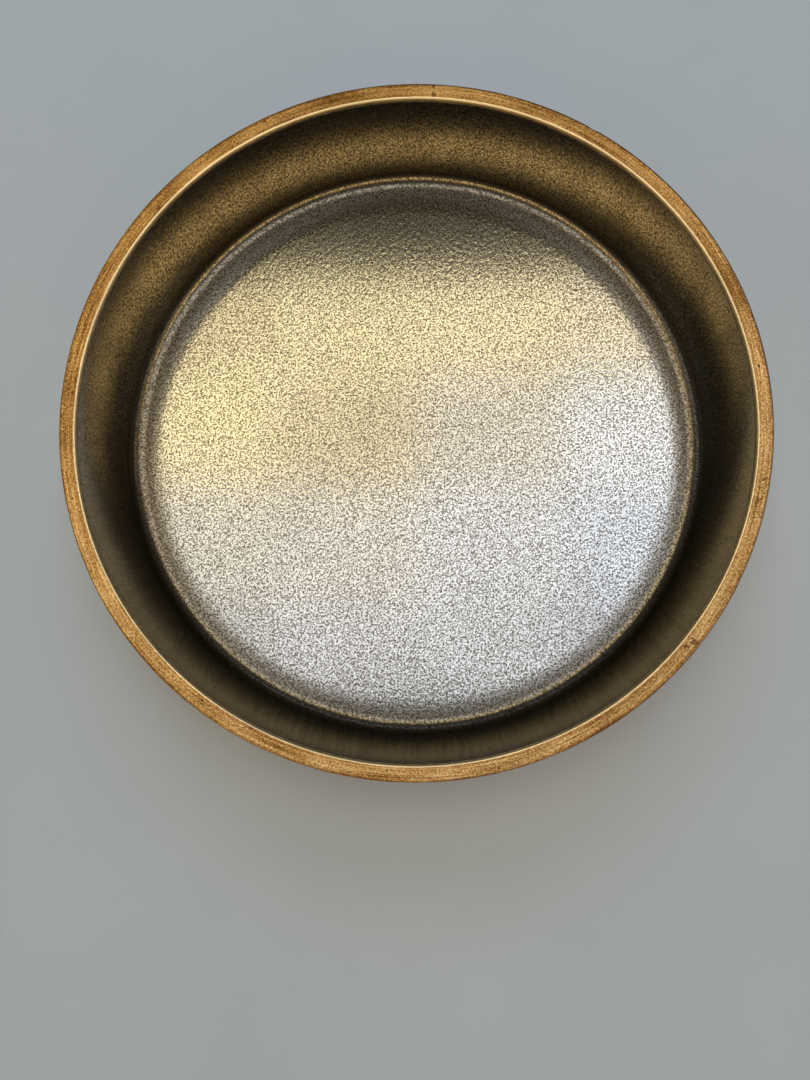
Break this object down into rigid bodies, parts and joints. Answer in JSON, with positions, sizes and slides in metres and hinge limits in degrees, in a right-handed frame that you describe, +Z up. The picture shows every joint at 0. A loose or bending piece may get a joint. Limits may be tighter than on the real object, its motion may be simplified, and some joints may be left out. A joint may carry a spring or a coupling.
{
  "type": "paten plate",
  "caption": "Deep round double-walled metal paten with a stippled well, a flat turned rim and a low foot ring.",
  "frame": {"origin": "centre of the plane the foot ring stands on", "axes": "+Z up along the axis of revolution; +X and +Y are any two directions across the dish"},
  "size_m": [0.16, 0.16, 0.0327],
  "materials": {
    "rim_brass": "turned and left satin, golden brown with small tarnish specks",
    "liner_bronze": "stippled, dark bronze plate with a silvery gold sheen",
    "shell_brass": "spun and brushed, aged",
    "foot_brass": "turned, worn bright where it stands",
    "solder": "cast as it flowed, pale and dull"
  },
  "bodies": {
    "root": {"outer_shell": "shell_brass", "well_liner": "liner_bronze", "liner_solder": "solder", "rim_ring": "rim_brass", "rim_solder": "solder", "foot_ring": "foot_brass", "foot_solder": "solder"}
  },
  "joints": []
}
